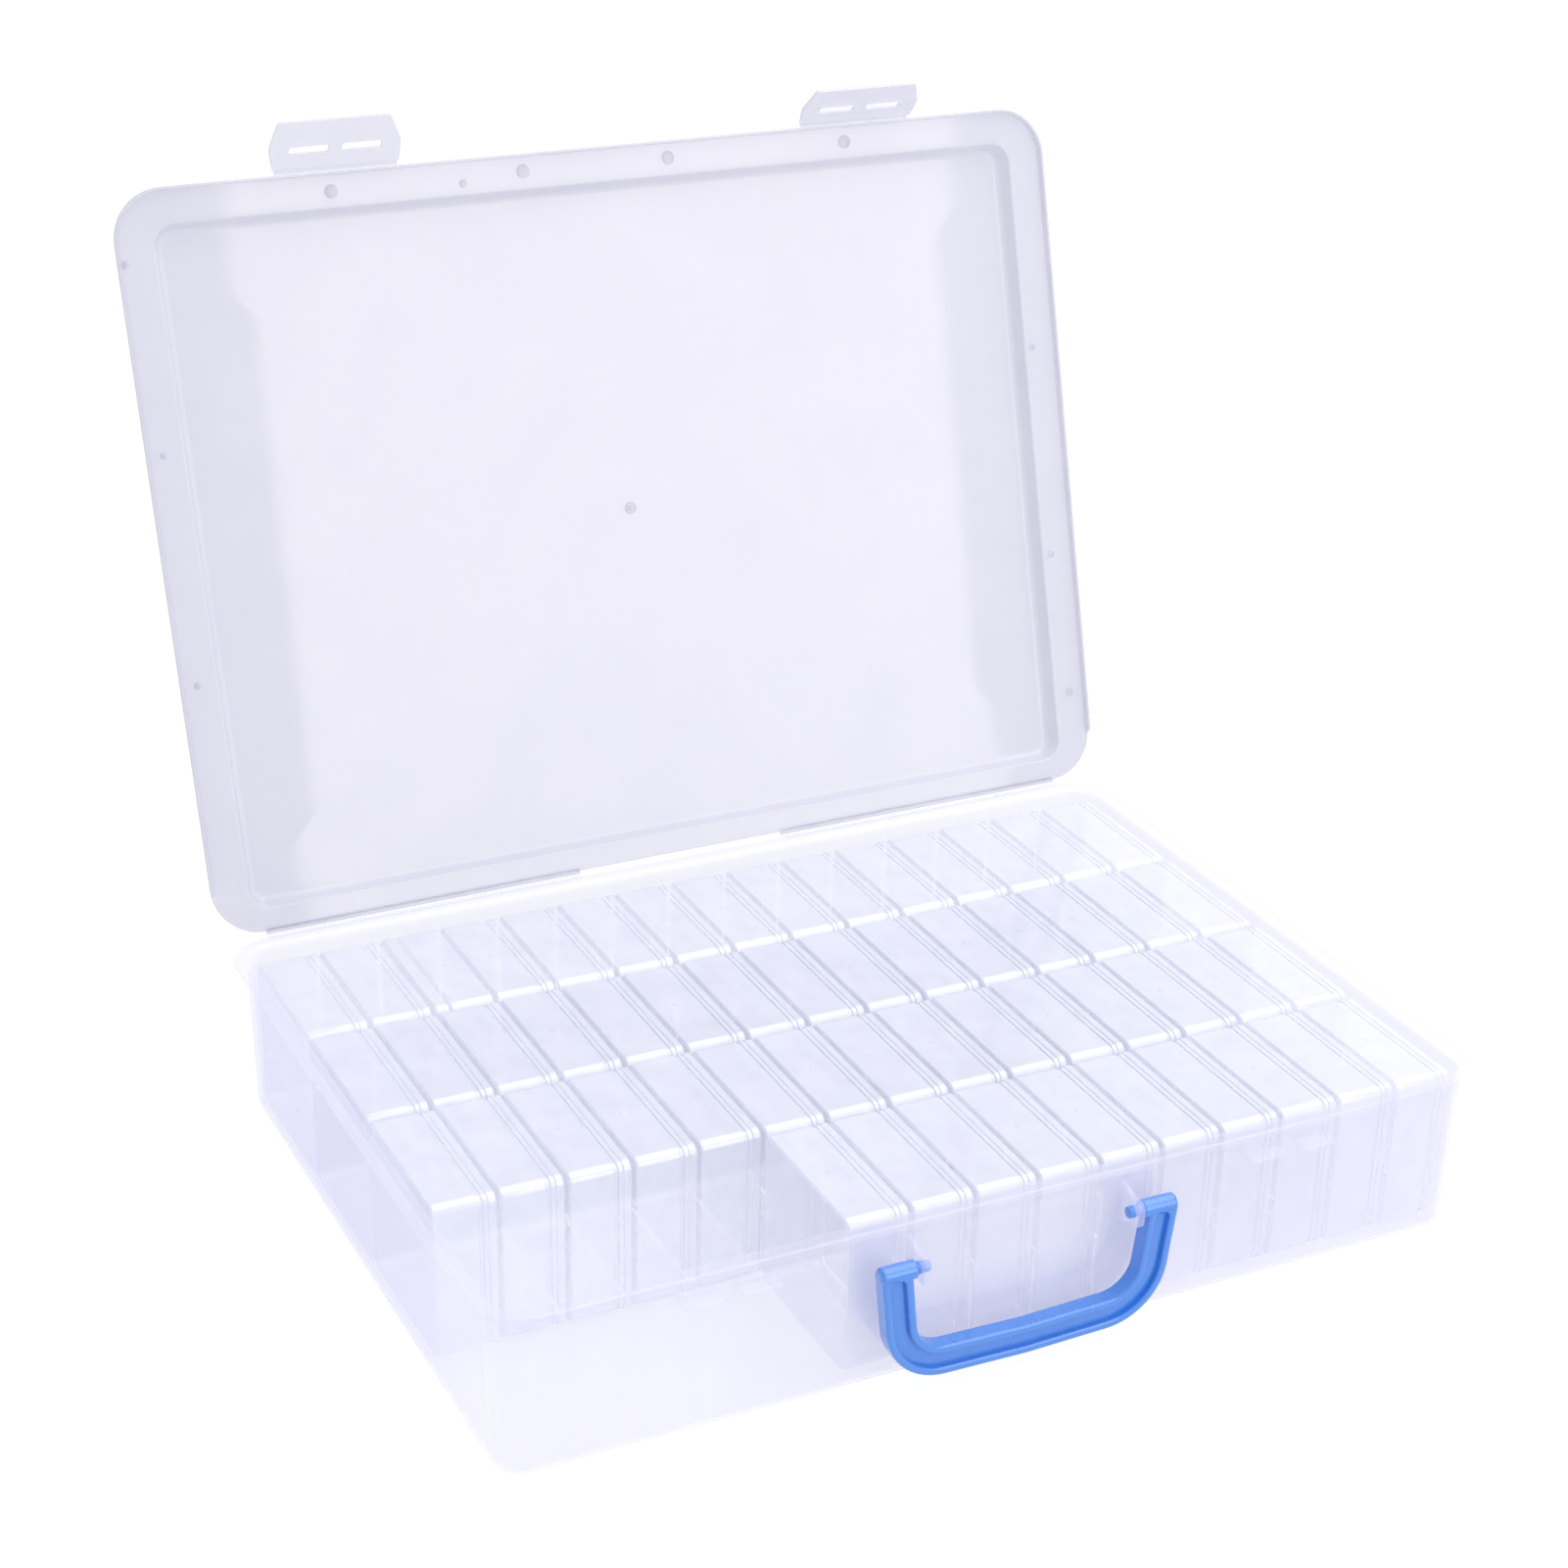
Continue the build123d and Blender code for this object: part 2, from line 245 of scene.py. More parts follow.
@dataclass(frozen=True)
class FrostedMoulding:
    """Thin milky plastic. Light goes straight through it, but for a share that its milk scatters.

    Fields: the tint that light takes on its way through one skin, the colour of the milk, how
    milky level faces, faces to the side and faces to the front look, the share of light that
    meets the clear skin at all, its roughness, the depth of its mottling in metres, how milky
    edges look, the refractive index that its reflections have, the width of its mottling in
    metres, how strongly the milk glows by itself, which is painted light standing in for light
    scattered inside the plastic, and how much darker the tint of faces to the front and back is
    painted, as painted shade. The last six say how fast the milk thickens towards an edge, how
    much it varies, how much paler it gets in places, where the coat's reflection starts and
    stops to fade at a grazing angle, and how much of it fades.
    """

    name: str
    tint: Colour
    milk: Colour
    top_milk: float
    side_milk: float
    front_milk: float
    body: float
    roughness: float
    ripple: float
    edge_milk: float = 0.5
    gloss: float = 1.5
    cloud_size: float = 0.05
    # painted light: the milk's own glow stands in for light scattered inside the plastic
    glow: float = 0.0
    # painted shade: faces to the front and back get a darker tint
    front_loss: float = 0.0
    edge_power: float = 5.0
    milk_swing: float = 0.10
    paler: float = 0.06
    fade_from: float = 0.64
    fade_to: float = 0.76
    fade: float = 0.85

    def material(self) -> bpy.types.Material:
        """Writes the material's nodes and returns the material."""
        made = bpy.data.materials.new(self.name)
        graph = Graph(made)
        cloud = graph.noise(self.cloud_size, 2.0)
        flow = graph.noise(self.cloud_size / 2, 1.0, (1.0, 0.3, 1.0))
        normal = graph.node("ShaderNodeNewGeometry").outputs["Normal"]
        onward, upright = (graph.value("ShaderNodeSeparateXYZ", {0: normal}, n) for n in (1, 2))
        facing = graph.value("ShaderNodeLayerWeight", {"Blend": 0.5}, "Facing")
        stops = [(self.fade_from, 0.0), (self.fade_to, 1.0)]
        grazing = graph.value("ShaderNodeValToRGB", {0: facing}, stops=stops)
        milk = self.side_milk + (self.top_milk - self.side_milk) * upright * upright
        milk = milk + (self.front_milk - self.side_milk) * onward * onward
        milk = milk + (self.edge_milk - milk) * facing**self.edge_power
        milk = milk + (cloud + flow - 1.0) * self.milk_swing
        lighter = tuple(min(1.0, level + self.paler) for level in self.milk)
        # painted shade: the tint is made darker on faces to the front and back
        front_shaded_tint = tuple(level * (1 - self.front_loss) for level in self.tint)
        shared = {
            "IOR": 1.0,
            "Roughness": self.roughness + (flow - 0.5) * 0.1,
            "Coat Weight": 1.0 - self.fade * grazing,
            "Coat Roughness": self.roughness,
            "Coat IOR": self.gloss,
            "Normal": graph.bump(cloud * 0.5 + flow * 0.5, self.ripple, 0.5),
        }
        through = {
            **shared,
            "Base Color": graph.blend(onward * onward, self.tint, front_shaded_tint),
            "Transmission Weight": 1.0,
            "Alpha": self.body,
        }
        scattered = {
            **shared,
            "Base Color": graph.blend(cloud, self.milk, lighter),
            # painted light: the milk glows by itself, in its own colour
            "Emission Color": (*self.milk, 1),
            "Emission Strength": self.glow,
        }
        kind = "ShaderNodeBsdfPrincipled"
        graph.surface(graph.mix(milk, graph.node(kind, through), graph.node(kind, scattered)))
        return made


@dataclass(frozen=True)
class SmoothHandlePlastic:
    """Solid coloured plastic under a smooth coat, a little paler where it is scuffed.

    Fields: its colour and the paler one, its roughness, its refractive index, the weight and
    roughness of its coat, the widths of its mottles, grains and scuffs, where the pattern of
    scuffs starts to show and shows fully, and the depth of its grain. Lengths are in metres.
    """

    name: str
    colour: Colour
    worn: Colour
    roughness: float
    gloss: float = 1.6
    coat: float = 0.8
    coat_roughness: float = 0.04
    mottle_size: float = 0.02
    grain_size: float = 0.0009
    scuff_size: float = 0.004
    scuff_from: float = 0.58
    scuff_to: float = 0.72
    grain_depth: float = 0.00002

    def material(self) -> bpy.types.Material:
        """Writes the material's nodes and returns the material."""
        made = bpy.data.materials.new(self.name)
        graph = Graph(made)
        mottle = graph.noise(self.mottle_size, 3.0)
        grain = graph.noise(self.grain_size, 2.0)
        scuffs = graph.noise(self.scuff_size, 5.0, (3.0, 0.6, 0.6))
        stops = [(self.scuff_from, 0.0), (self.scuff_to, 1.0)]
        marks = graph.value("ShaderNodeValToRGB", {0: scuffs}, stops=stops)
        sockets = {
            "Base Color": graph.blend(mottle * 0.6 + marks * 0.15, self.colour, self.worn),
            "Roughness": self.roughness + (mottle - 0.5) * 0.1 + marks * 0.06,
            "IOR": self.gloss,
            "Coat Weight": self.coat,
            "Coat Roughness": self.coat_roughness,
            "Normal": graph.bump(grain * 0.6 + scuffs * 0.4, self.grain_depth, 0.1),
        }
        graph.surface(graph.node("ShaderNodeBsdfPrincipled", sockets))
        return made


# --- Mesh tools ---


def add_object(name: str, data: bpy.types.ID) -> bpy.types.Object:
    """Adds an object with this data to the scene."""
    made = bpy.data.objects.new(name, data)
    bpy.context.scene.collection.objects.link(made)
    return made


def shade(mesh: bpy.types.Mesh) -> None:
    """Shades a mesh smooth but for its sharp edges."""
    mesh.shade_smooth()
    mesh.set_sharp_from_angle(angle=SHARP_ANGLE)


def finish_mesh(made: bmesh.types.BMesh, name: str) -> bpy.types.Mesh:
    """Cleans a mesh, faces it outwards, shades it and ends its drawing."""
    bmesh.ops.remove_doubles(made, verts=made.verts, dist=SAME_POINT)
    bmesh.ops.dissolve_degenerate(made, edges=made.edges, dist=SAME_POINT)
    bmesh.ops.recalc_face_normals(made, faces=made.faces)
    mesh = bpy.data.meshes.new(name)
    made.to_mesh(mesh)
    made.free()
    shade(mesh)
    return mesh


def join_rings(made: bmesh.types.BMesh, rings: Sequence[Sequence[bmesh.types.BMVert]]) -> None:
    """Puts a band of faces between each ring of points and the next."""
    for low, high in zip(rings, rings[1:]):
        for i in range(len(low)):
            j = (i + 1) % len(low)
            made.faces.new((low[i], low[j], high[j], high[i]))


def closed_skin(rings: Iterable[Iterable[Vector]], name: str) -> bpy.types.Mesh:
    """Joins rings of points into one closed mesh.

    Args:
        rings: the rings in millimetres, from the middle of one face to the middle of the other.
        name: the mesh's name.

    Returns:
        The mesh in metres.
    """
    made = bmesh.new()
    rows = [[made.verts.new(point * MM) for point in ring] for ring in rings]
    join_rings(made, rows)
    made.faces.new(list(reversed(rows[0])))
    made.faces.new(rows[-1])
    return finish_mesh(made, name)


def round_corner(
    before: Vector, corner: Vector, after: Vector, radius: float, steps: int
) -> list[Vector]:
    """Points of an arc that rounds one corner of a path.

    Args:
        before: the path's point before the corner.
        corner: the corner itself.
        after: the path's point after it.
        radius: the wanted radius, cut down where the path's legs are short.
        steps: number of parts of the arc.

    Returns:
        The arc's points, or the corner alone if there is nothing to round.
    """
    back, on = (before - corner), (after - corner)
    if radius <= 0 or back.length < NO_LENGTH or on.length < NO_LENGTH:
        return [corner]
    legs = min(back.length, on.length)
    back.normalize()
    on.normalize()
    half = back.angle(on) / 2
    if half > NEARLY_STRAIGHT:
        return [corner]
    reach = min(radius / math.tan(half), LEG_SHARE * legs)
    radius = reach * math.tan(half)
    centre = corner + (back + on).normalized() * (radius / math.sin(half))
    start = (corner + back * reach - centre).normalized()
    end = (corner + on * reach - centre).normalized()
    return [centre + start.slerp(end, step / steps) * radius for step in range(steps + 1)]


def round_path(points: Sequence[tuple], steps: int, closed: bool) -> list[Pair]:
    """Rounds the corners of a flat path.

    Args:
        points: for each corner its two coordinates and its radius.
        steps: number of parts of each arc.
        closed: whether the path's end joins its start.

    Returns:
        The rounded path's points.
    """
    corners = [Vector((p[0], p[1])) for p in points]
    path: list[Vector] = []
    for i, (corner, point) in enumerate(zip(corners, points)):
        radius = point[2] if len(point) > 2 else 0.0
        if not closed and i in (0, len(points) - 1):
            path.append(corner)
            continue
        path += round_corner(corners[i - 1], corner, corners[(i + 1) % len(corners)], radius, steps)
    return [(p.x, p.y) for p in path]


@dataclass(frozen=True)
class RoundedFrame:
    """A rounded rectangle that a wall's section runs round, in millimetres.

    Fields: half its width and depth, its corner radius, how far its middle lies along Y, how
    much the corner radius changes for each millimetre that a point lies inside or outside it,
    and the least radius and the least straight piece of half a side.
    """

    half_x: float
    half_y: float
    corner: float
    middle_y: float = 0.0
    inside: float = 1.0
    outside: float = 1.0
    least_corner: float = 0.3
    least_side: float = 0.1

    def ring(self, out: float, up: float, steps: int) -> list[Vector]:
        """Points of the ring that lies out from the frame, at height up."""
        half_x, half_y = self.half_x + out, self.half_y + out
        corner = self.corner + out * (self.inside if out < 0 else self.outside)
        corner = min(corner, half_x - self.least_side, half_y - self.least_side)
        corner = max(self.least_corner, corner)
        points = []
        for quarter, (sign_x, sign_y) in enumerate(((1, 1), (-1, 1), (-1, -1), (1, -1))):
            for step in range(steps + 1):
                angle = math.pi / 2 * (quarter + step / steps)
                x = sign_x * (half_x - corner) + corner * math.cos(angle)
                y = sign_y * (half_y - corner) + corner * math.sin(angle)
                points.append(Vector((x, self.middle_y + y, up)))
        return points


class Moulding:
    """A closed skin made of rings, from the middle of one face to the middle of the other."""

    def __init__(self, corner_steps: int = 10) -> None:
        """Starts with no rings. Each ring's corners get corner_steps parts."""
        self.corner_steps = corner_steps
        self.rings: list[list[Vector]] = []

    def run(self, outline: RoundedFrame, section: Sequence[tuple], steps: int = 4) -> "Moulding":
        """Adds a section of the wall.

        Args:
            outline: the rounded rectangle that the section runs round.
            section: for each corner of the section how far out it is, its height and its radius.
            steps: number of parts of each rounding.

        Returns:
            The moulding itself, so that calls can follow each other.
        """
        for out, up in round_path(section, steps, closed=False):
            self.rings.append(outline.ring(out, up, self.corner_steps))
        return self

    def mesh(self, name: str, place: Callable[[Vector], Vector]) -> bpy.types.Mesh:
        """Joins the rings into one closed mesh in metres.

        Args:
            name: the mesh's name.
            place: puts a point of the drawing where it goes, still in millimetres.

        Returns:
            The mesh.
        """
        return closed_skin(([place(p) for p in ring] for ring in self.rings), name)


def evaluated(
    mesh: bpy.types.Mesh, change: Callable[[bpy.types.Object], None], name: str
) -> bpy.types.Mesh:
    """A mesh with modifiers applied.

    Args:
        mesh: the mesh to start from.
        change: adds the modifiers to a stand-in object that holds the mesh.
        name: the new mesh's name.

    Returns:
        The changed mesh.
    """
    stand_in = add_object(name + "_work", mesh)
    change(stand_in)
    graph = bpy.context.evaluated_depsgraph_get()
    result = bpy.data.meshes.new_from_object(stand_in.evaluated_get(graph))
    result.name = name
    bpy.data.objects.remove(stand_in)
    return result


def weigh_normals(stand_in: bpy.types.Object) -> None:
    """Adds the modifier that keeps large faces flat beside small roundings."""
    weigh = stand_in.modifiers.new("weigh", "WEIGHTED_NORMAL")
    weigh.keep_sharp = True
    weigh.weight = 80


def unite(first: bpy.types.Mesh, others: Sequence[bpy.types.Mesh], name: str) -> bpy.types.Mesh:
    """Melts meshes into one closed body.

    Args:
        first: the mesh that the others are added to.
        others: the meshes to add.
        name: the new mesh's name.

    Returns:
        The united mesh.
    """
    helpers = [add_object(f"{name}_add_{i}", other) for i, other in enumerate(others)]

    def add_all(stand_in: bpy.types.Object) -> None:
        """Adds a union for each helper."""
        for helper in helpers:
            union = stand_in.modifiers.new("union", "BOOLEAN")
            union.operation = "UNION"
            union.solver = "EXACT"
            union.object = helper

    result = evaluated(first, add_all, name)
    for helper in helpers:
        bpy.data.objects.remove(helper)
    shade(result)
    return result


def signed_area(outline: Sequence[Pair]) -> float:
    """Area inside an outline, which is above zero where it runs anticlockwise."""
    return 0.5 * sum(a[0] * b[1] - b[0] * a[1] for a, b in zip(outline, [*outline[1:], outline[0]]))


def inset_outline(outline: Sequence[Pair], distance: float) -> list[Pair]:
    """Moves an outline to its left.

    Args:
        outline: its points, anticlockwise round material and clockwise round a hole.
        distance: how far each side moves.

    Returns:
        The moved points.
    """
    moved = []
    count = len(outline)
    for i in range(count):
        here = Vector(outline[i])
        before = (here - Vector(outline[i - 1])).normalized()
        after = (Vector(outline[(i + 1) % count]) - here).normalized()
        left = Vector((-before.y - after.y, before.x + after.x))
        if left.length < NO_LENGTH:
            moved.append((here.x, here.y))
            continue
        left.normalize()
        lean = max(LEAST_LEAN, left.dot(Vector((-before.y, before.x))))
        here += left * (distance / lean)
        moved.append((here.x, here.y))
    return moved


@dataclass(frozen=True)
class Plate:
    """A flat plate cut to closed outlines, with rounded edges, in millimetres.

    Fields: the outlines of its material, its thickness, the radius of its rounded edges, and the
    outlines of its holes.
    """

    outlines: Sequence[Sequence[Pair]]
    thickness: float
    ease: float = 0.2
    holes: Sequence[Sequence[Pair]] = ()
    steps: int = 3

    def levels(self) -> list[Pair]:
        """How far in and how high each ring of the edge lies, from the lower face up."""
        half, ease = self.thickness / 2, self.ease
        lower = []
        for step in range(self.steps + 1):
            angle = math.pi / 2 * step / self.steps
            lower.append((ease * (1 - math.sin(angle)), -half + ease * (1 - math.cos(angle))))
        return lower + [(inset, -height) for inset, height in reversed(lower)]

    def mesh(self, name: str, place: Matrix) -> bpy.types.Mesh:
        """Cuts the plate.

        Args:
            name: the mesh's name.
            place: takes the drawing's X, Y and thickness to where the plate goes, in millimetres.

        Returns:
            The mesh in metres.
        """
        made = bmesh.new()
        matrix = Matrix.Scale(MM, 4) @ place
        turned = [(outline, 1) for outline in self.outlines] + [(hole, -1) for hole in self.holes]
        lower: list[bmesh.types.BMEdge] = []
        upper: list[bmesh.types.BMEdge] = []
        for outline, sense in turned:
            if signed_area(outline) * sense < 0:
                outline = outline[::-1]
            rings = []
            for inset, height in self.levels():
                points = inset_outline(outline, inset)
                rings.append([made.verts.new(matrix @ Vector((x, y, height))) for x, y in points])
            join_rings(made, rings)
            for edges, ring in ((lower, rings[0]), (upper, rings[-1])):
                edges += [made.edges.get(ends) for ends in zip(ring, [*ring[1:], ring[0]])]
        for edges in (lower, upper):
            bmesh.ops.triangle_fill(made, edges=edges, use_beauty=True, use_dissolve=False)
        return finish_mesh(made, name)


def circle(x: float, y: float, radius: float, parts: int = 28) -> list[Pair]:
    """Points of a circle about (x, y)."""
    turns = [2 * math.pi * i / parts for i in range(parts)]
    return [(x + radius * math.cos(a), y + radius * math.sin(a)) for a in turns]


def rectangle(low: Pair, high: Pair, radius: float, steps: int) -> list[Pair]:
    """Points of a rectangle with rounded corners, given by its low and its high corner."""
    corners = (low, (high[0], low[1]), high, (low[0], high[1]))
    return round_path([(x, y, radius) for x, y in corners], steps, closed=True)


def slot_outline(x: float, y: float, width: float, height: float) -> list[Pair]:
    """Points of a slot with round ends about (x, y)."""
    half_x, half_y = width / 2, height / 2
    radius = min(half_x, half_y) * ROUND_END
    return rectangle((x - half_x, y - half_y), (x + half_x, y + half_y), radius, 5)


def across_x() -> Matrix:
    """Takes a drawing's X and Y to the frame's Y and Z, and its thickness to X."""
    return Matrix(((0, 0, 1, 0), (1, 0, 0, 0), (0, 1, 0, 0), (0, 0, 0, 1)))


def across_y() -> Matrix:
    """Takes a drawing's X and Y to the frame's X and Z, and its thickness to Y."""
    return Matrix(((1, 0, 0, 0), (0, 0, -1, 0), (0, 1, 0, 0), (0, 0, 0, 1)))


def add_piece(
    name: str,
    mesh: bpy.types.Mesh,
    material: bpy.types.Material,
    body: str,
    slot: Slot,
    replaces: Sequence[str] = (),
) -> bpy.types.Object:
    """Puts a mesh in the scene as a piece of the part.

    Args:
        name: the piece's name.
        mesh: its mesh, in metres.
        material: its finish.
        body: the body of the model that it rides on.
        slot: the record's slot that its finish stands for. Not used.
        replaces: nodes of the model that it stands for.

    Returns:
        The piece.
    """
    mesh.materials.clear()
    mesh.materials.append(material)
    piece = add_object(name, mesh)
    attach(piece, body)
    if replaces:
        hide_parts(*replaces)
    return piece


# --- The case ---


@dataclass(frozen=True)
class CaseSizes:
    """Sizes that the tray, the lid and the flaps share, in millimetres."""

    foot_width: float = 335.1
    foot_depth: float = 238.8
    wall: float = 1.7
    wall_draft: float = 1.0
    floor_thick: float = 2.0
    corner: float = 10.0
    rim_height: float = 58.8
    rim_thick: float = 2.4
    rim_overhang: float = 4.2
    lid_under: float = 59.1
    lid_thick: float = 1.6
    lid_front: float = -125.8
    lid_back: float = 124.6
    lid_half_width: float = 173.95
    lid_corner: float = 17.4
    hinge_y: float = 125.8
    hinge_z: float = 58.95
    open_angle: float = 106.3
    web_inner: float = 40.0
    web_outer: float = 156.75
    flap_centre: float = 97.0
    catch_spacing: float = 18.4
    hinge_thick: float = 0.5
    hinge_overlap: float = 1.0
    hinge_half_gap: float = 0.12
    pivot_y: float = -126.948
    pivot_z: float = 44.0

    def opened(self) -> Matrix:
        """Takes what is drawn with the lid closed to where it is with the lid open."""
        there = Matrix.Translation((0, self.hinge_y, self.hinge_z))
        turn = Matrix.Rotation(math.radians(-self.open_angle), 4, "X")
        return there @ turn @ there.inverted()

    def wall_face(self, height: float) -> float:
        """How far in front of the middle the outside of the front wall is at this height."""
        return self.foot_depth / 2 + self.wall_draft * height / self.rim_height


@dataclass
class CasePart:
    """What the parts of the case share: its sizes, and their own plastic."""

    sizes: CaseSizes
    plastic: bpy.types.Material

    def add(self, body: Body, name: str, mesh: bpy.types.Mesh, *replaces: str) -> None:
        """Puts a piece on a body, where it stands for the named nodes of the model."""
        slot = Slot.HANDLE if body is Body.HANDLE else Slot.CASE
        add_piece(name, mesh, self.plastic, body.value, slot, replaces)


@dataclass
class CaseTray(CasePart):
    """The tray with its rim, the handle's ears, the latch catches and its half of the hinge web."""

    foot_round: float = 4.5
    rim_round: float = 1.3
    ear_thick: float = 2.0
    ear_outer: float = 38.0
    ear_nose: float = 4.38
    pin_hole: float = 1.97
    catch_width: float = 12.8
    catch_top: float = 49.5
    catch_tip_y: float = -125.6
    floor_border: float = 26.0
    ear_up: float = 6.5
    ear_down: float = 8.5
    ear_knee: float = 1.0
    nose_round: float = 4.2
    catch_height: float = 1.6
    catch_chamfer: float = 0.45

    def shell(self) -> bpy.types.Mesh:
        """The tray in one skin: under the foot, up the wall, round the rim, down to the floor."""
        s = self.sizes
        half_x, half_y = s.foot_width / 2, s.foot_depth / 2
        outline = RoundedFrame(half_x, half_y, s.corner, inside=1.6, outside=1.19)
        under_rim = s.rim_height - s.rim_thick
        lean = s.wall_draft * under_rim / s.rim_height
        section = [
            (-self.floor_border, 0),
            (0, 0, self.foot_round),
            (lean, under_rim, 0.7),
            (s.wall_draft + s.rim_overhang, under_rim, 0.5),
            (s.wall_draft + s.rim_overhang, s.rim_height, 0.8),
            (s.wall_draft - s.wall, s.rim_height, self.rim_round),
            (-s.wall, s.floor_thick, 0.7),
            (-self.floor_border, s.floor_thick),
        ]
        return Moulding(12).run(outline, section, 5).mesh("case_tray", lambda p: p)

    def ear(self, side: Side) -> bpy.types.Mesh:
        """One of the two plates that hold the handle's pins."""
        s = self.sizes
        root_y = -s.wall_face(s.pivot_z) + s.wall / 2
        nose_y, knee_y = s.pivot_y - self.ear_nose, s.pivot_y + self.ear_knee
        knee = self.ear_nose + 0.1
        profile = [
            (root_y, s.pivot_z + self.ear_up, 0),
            (knee_y, s.pivot_z + knee, 3),
            (nose_y, s.pivot_z + self.ear_nose, self.nose_round),
            (nose_y, s.pivot_z - self.ear_nose, self.nose_round),
            (knee_y, s.pivot_z - knee, 3),
            (root_y, s.pivot_z - self.ear_down, 0),
        ]
        hole = circle(s.pivot_y, s.pivot_z, self.pin_hole)
        plate = Plate([round_path(profile, 8, closed=True)], self.ear_thick, 0.3, [hole])
        middle = Matrix.Translation((side.value * (self.ear_outer - self.ear_thick / 2), 0, 0))
        return plate.mesh(f"ear_{side.word}", middle @ across_x())

    def catch(self, middle_x: float, name: str) -> bpy.types.Mesh:
        """One wedge that a slot of a latch flap snaps over."""
        s = self.sizes
        root_y = -s.wall_face(self.catch_top) + s.wall / 2
        top, tip, chamfer = self.catch_top, self.catch_tip_y, self.catch_chamfer
        profile = [
            (root_y, top, 0),
            (tip + chamfer, top, 0.3),
            (tip, top - chamfer, 0.3),
            (tip, top - 2 * chamfer, 0.2),
            (root_y, top - self.catch_height, 0),
        ]
        plate = Plate([round_path(profile, 3, closed=True)], self.catch_width, 0.15)
        return plate.mesh(name, Matrix.Translation((middle_x, 0, 0)) @ across_x())

    def build(self) -> None:
        """Builds the pieces and puts them on the case."""
        s = self.sizes
        shell = evaluated(self.shell(), weigh_normals, "case_tray")
        self.add(Body.CASE, "case_tray", shell, "case_base")
        for side in Side:
            name = f"handle_ear_{side.word}"
            self.add(Body.CASE, name, evaluated(self.ear(side), weigh_normals, name))
            for number, shift in enumerate((-0.5, 0.5)):
                middle_x = side.value * s.flap_centre + shift * s.catch_spacing
                name = f"latch_catch_{side.word}_{number + 1}"
                self.add(Body.CASE, name, self.catch(middle_x, name))
            web = hinge_web(s, side, s.lid_back, s.rim_height - s.hinge_thick)
            self.add(Body.CASE, f"tray_hinge_web_{side.word}", web)


def hinge_web(sizes: CaseSizes, side: Side, back_y: float, low_z: float) -> bpy.types.Mesh:
    """The thin strip of the folding hinge on one side of its middle slot.

    Args:
        sizes: the case's sizes.
        side: which side of the middle it is on.
        back_y: the edge that it starts from.
        low_z: the height of its underside.

    Returns:
        The strip's mesh, drawn with the lid closed.
    """
    low, high = sorted((side.value * sizes.web_inner, side.value * sizes.web_outer))
    start, end = back_y - sizes.hinge_overlap, sizes.hinge_y - sizes.hinge_half_gap
    outline = rectangle((low, start), (high, end), 0.4, 3)
    place = Matrix.Translation((0, 0, low_z + sizes.hinge_thick / 2))
    return Plate([outline], sizes.hinge_thick, 0.12).mesh("hinge_web", place)


